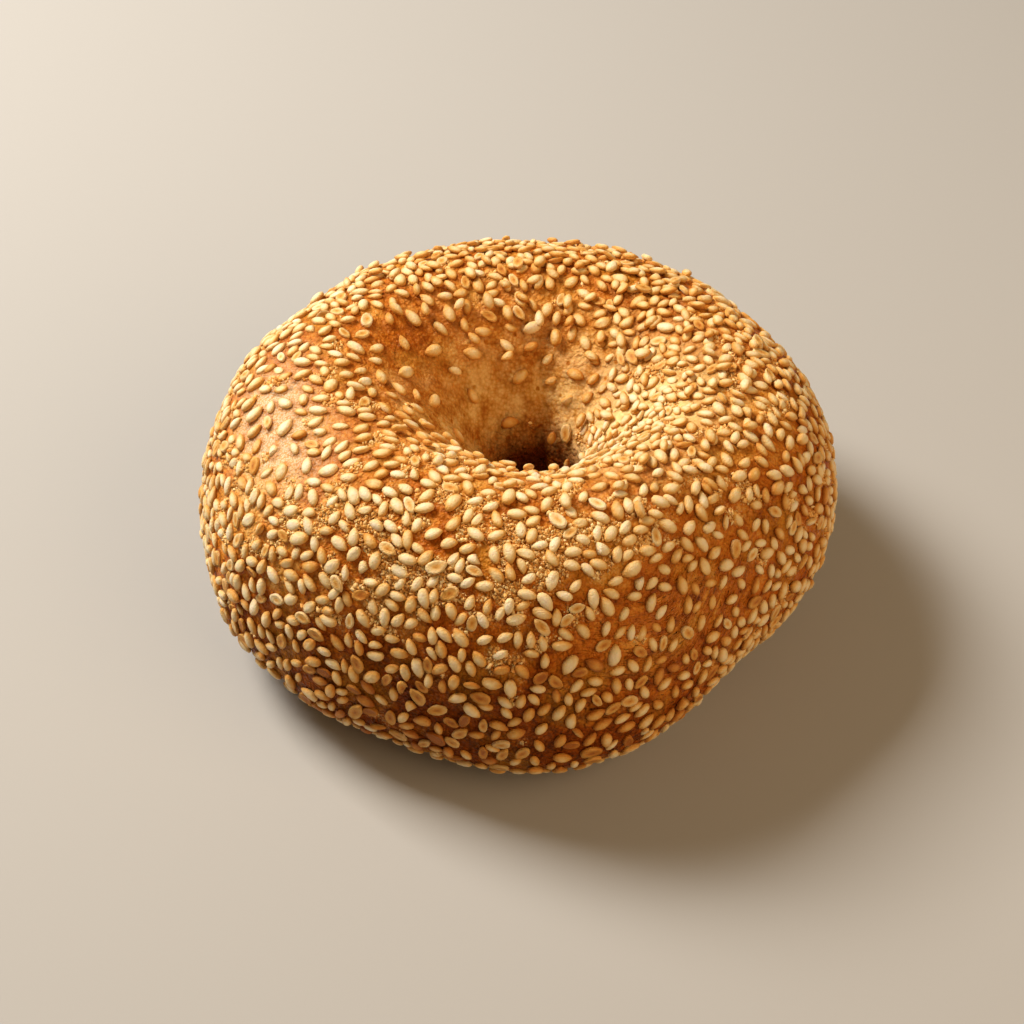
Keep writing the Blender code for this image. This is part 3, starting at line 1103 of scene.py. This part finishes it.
# %% Colours of the crust
CRUST_STOPS = (
    (0.0, (0.82, 0.54, 0.19)),
    (0.28, (0.68, 0.265, 0.034)),
    (0.52, (0.49, 0.13, 0.008)),
    (0.78, (0.27, 0.053, 0.002)),
    (1.0, (0.10, 0.018, 0.001)),
)
GRIT_STOPS = (
    (0.4, (0.60, 0.27, 0.06)),
    (0.75, (0.84, 0.56, 0.28)),
)
GLAZE_STOPS = (
    (0.0, (0.84, 0.58, 0.22)),
    (0.5, (0.57, 0.225, 0.02)),
    (1.0, (0.18, 0.055, 0.003)),
)
POWDER_STOPS = (
    (0.36, (0.60, 0.32, 0.125)),
    (0.64, (0.74, 0.62, 0.44)),
)
WALL_STOPS = (
    (0.2, (0.29, 0.1, 0.012)),
    (0.4, (0.51, 0.265, 0.06)),
    (0.62, (0.70, 0.47, 0.19)),
    (0.85, (0.82, 0.60, 0.27)),
)


def glaze_colour(tree, bake_and_shade, streaks, crumbs_here, stretched, hollows):
    """The crust's colour from bake and painted shade: paler in streaks and under crumbs, with golden
    patches.
    """
    streak = minus(tree, noise_node(tree, stretched, 0.8, 5.0), 0.5)
    tone = minus(tree, bake_and_shade, times(tree, times(tree, streak, streaks), 1.4))
    paler = minus(tree, hollows, times(tree, crumbs_here, 0.26))
    mottled = add_group(tree, mottle, Tone=plus(tree, tone, paler), Size_per_m=420.0, Amount=0.55)
    where = add_node(tree, "ShaderNodeTexCoord").outputs["Object"]
    golden = rise(tree, noise_node(tree, where, 130.0, 3.0), 0.48, 0.64, high=0.8)
    return mix_colours(tree, golden, ramp(tree, mottled, CRUST_STOPS), ramp(tree, mottled, GLAZE_STOPS))


def wall_colour(tree, lit_wall, hollows):
    """Open crumb: mottled, with dark pores, and paler with painted light on the seeded side of the wall.
    """
    crumb_tone = add_group(tree, mottle, Tone=0.5, Size_per_m=260.0, Amount=1.2)
    where = add_node(tree, "ShaderNodeTexCoord").outputs["Object"]
    cells = add_node(tree, "ShaderNodeTexVoronoi", Vector=where, Scale=330.0).outputs["Distance"]
    pore = rise(tree, cells, 0.05, 0.17, low=0.55, high=0.0)
    open_tone = minus(tree, minus(tree, crumb_tone, pore), hollows)
    # Paler on the seeded side of the wall: painted light where that side faces the light.
    return ramp(tree, plus(tree, open_tone, times(tree, lit_wall, 0.42)), WALL_STOPS)


# %% [markdown]
# The glaze shines, most on the stretched flank, and the dry parts don't. The bumps go from large to
# small: blisters where the crust is dark, then coarse grain, streaks, fine grain, grit and powder.

# %% Crust finish
def crust_finish():
    """Baked crust: glazed between the seeds, dry on the shoulder, open and pale in the hole."""
    material, tree, shader = new_material("baked_crust", 0.5, 0.22, 1.0 * MM, shine=0.2)
    bake_and_shade, bare_skin, wall_skin = attribute(tree, "skin")
    streaks, crumbs_here, lit_wall = attribute(tree, "mask")
    stretched = add_node(tree, "ShaderNodeAttribute", {"attribute_name": "streak"}).outputs["Vector"]
    fine = grain_node(tree, 1700.0, 0.7)
    grit = grain_node(tree, 2600.0, 0.75)
    powder = grain_node(tree, 3400.0, 0.6)
    calm = minus(tree, 1.0, times(tree, streaks, 0.6))
    speckle = times(tree, plus(tree, times(tree, crumbs_here, 0.4), 0.4), calm)
    hollows = times(tree, minus(tree, 0.6, fine), speckle)
    baked = glaze_colour(tree, bake_and_shade, streaks, crumbs_here, stretched, hollows)
    gritty = times(tree, rise(tree, grit, 0.5, 0.72, low=0.15, high=0.85), crumbs_here)
    baked = mix_colours(tree, gritty, baked, ramp(tree, grit, GRIT_STOPS))
    dusted = mix_colours(tree, times(tree, bare_skin, 0.9), baked, ramp(tree, powder, POWDER_STOPS))
    coloured = mix_colours(tree, wall_skin, dusted, wall_colour(tree, lit_wall, hollows))
    dry_skin = larger(tree, bare_skin, wall_skin)
    dark = rise(tree, bake_and_shade, 0.55, 0.75)
    rough = minus(tree, times(tree, dry_skin, 0.34), times(tree, streaks, 0.18))
    gloss = minus(tree, 0.2, times(tree, dark, 0.09))
    gloss = plus(tree, times(tree, streaks, 0.35), gloss)
    glazed = minus(tree, 1.0, times(tree, dry_skin, 0.75))
    layers = (
        (times(tree, grain_node(tree, 900.0, 1.0), dark), 0.45 * MM),
        (times(tree, grain_node(tree, 620.0, 0.25), glazed), 0.9 * MM),
        (times(tree, noise_node(tree, stretched, 3.4, 1.0), streaks), 1.1 * MM),
        (times(tree, times(tree, fine, glazed), calm), 0.26 * MM),
        (times(tree, grit, crumbs_here), 0.28 * MM),
        (times(tree, powder, bare_skin), 0.16 * MM),
    )
    normal = None
    for height, depth in layers:
        normal = bump(tree, height, depth, normal)
    feed_all(tree, shader, Base_Color=coloured, Normal=normal)
    feed_all(tree, shader, Roughness=plus(tree, rough, 0.4), Specular_IOR_Level=gloss)
    return material


# %% [markdown]
# Crumbs go from sandy brown to pale gold. Each has its own tone, kept on its points.

# %% Crumb finish
CRUMB_STOPS = (
    (0.0, (0.55, 0.21, 0.036)),
    (0.5, (0.79, 0.44, 0.135)),
    (1.0, (0.90, 0.66, 0.33)),
)


def crumb_finish():
    """Toasted bits, each with its own tone."""
    material, tree, shader = new_material("toasted_crumb", 0.6, 0.1, 0.3 * MM, shine=0.25)
    own, _, _ = attribute(tree, "chance")
    mottled = add_group(tree, mottle, Tone=own, Size_per_m=2500.0, Amount=0.3)
    coat = bump(tree, grain_node(tree, 5000.0, 0.5), 0.05 * MM)
    feed_all(tree, shader, Base_Color=ramp(tree, mottled, CRUMB_STOPS), Normal=coat)
    return material


crust.data.materials.append(crust_finish())
toasted_crumb = crumb_finish()
for piece in crumb_pieces:
    piece.data.materials.append(toasted_crumb)
satin_seed = seed_finish()
for piece in seed_pieces:
    piece.data.materials.append(satin_seed)
print("materials:", [material.name for material in bpy.data.materials])

# %% [markdown]
# The floor is a plain pale table top. One soft warm light stands far left and a little behind, which
# picks out every seed and leaves the low front in shade, and a weak wide one fills from the right.

# %% Floor and light
FLOOR_COLOUR = (0.38, 0.375, 0.38)
FLOOR_WIDTH = 60
BAGEL_MIDDLE = Vector((0, 0, 0.02))
WARM_FILL = (1.0, 0.71, 0.4)
LIGHTS = {
    "key": ((-0.39, 0.25, 0.52), 0.26, 8.0, (1.0, 0.94, 0.82)),
    "fill": ((0.5, -0.35, 0.45), 0.6, 3.15, WARM_FILL),
}
SKY_STRENGTH = 0.175

bpy.ops.mesh.primitive_plane_add(size=FLOOR_WIDTH)
floor = bpy.context.object
floor.name = "table_top"
pale_table, tree, shader = new_material("pale_table", 0.8, 0.0, MM, shine=0.1)
tone = add_group(tree, mottle, Tone=0.5, Size_per_m=6.0, Amount=0.1)
pale = mix_colours(tree, tone, FLOOR_COLOUR, tuple(1.06 * c for c in FLOOR_COLOUR))
feed_all(tree, shader, Base_Color=pale)
floor.data.materials.append(pale_table)
for name, (place, size, watts, colour) in LIGHTS.items():
    bpy.ops.object.light_add(type="AREA", location=place)
    lamp = bpy.context.object
    lamp.name = name
    lamp.rotation_euler = (BAGEL_MIDDLE - Vector(place)).to_track_quat("-Z", "Y").to_euler()
    lamp.data.size = size
    lamp.data.energy = watts
    lamp.data.color = colour
world = bpy.data.worlds.new("studio")
bpy.context.scene.world = world
world.use_nodes = True
sky = world.node_tree.nodes["Background"]
sky.inputs["Color"].default_value = (*WARM_FILL, 1)
sky.inputs["Strength"].default_value = SKY_STRENGTH
bpy.context.scene.view_settings.view_transform = "Standard"

# %% [markdown]
# Each piece rides on the bagel's one body and stands for the solid, which is hidden.

# %% Hand over the pieces
for piece in [crust, *crumb_pieces, *seed_pieces]:
    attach(piece, "root")
    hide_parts("bagel")
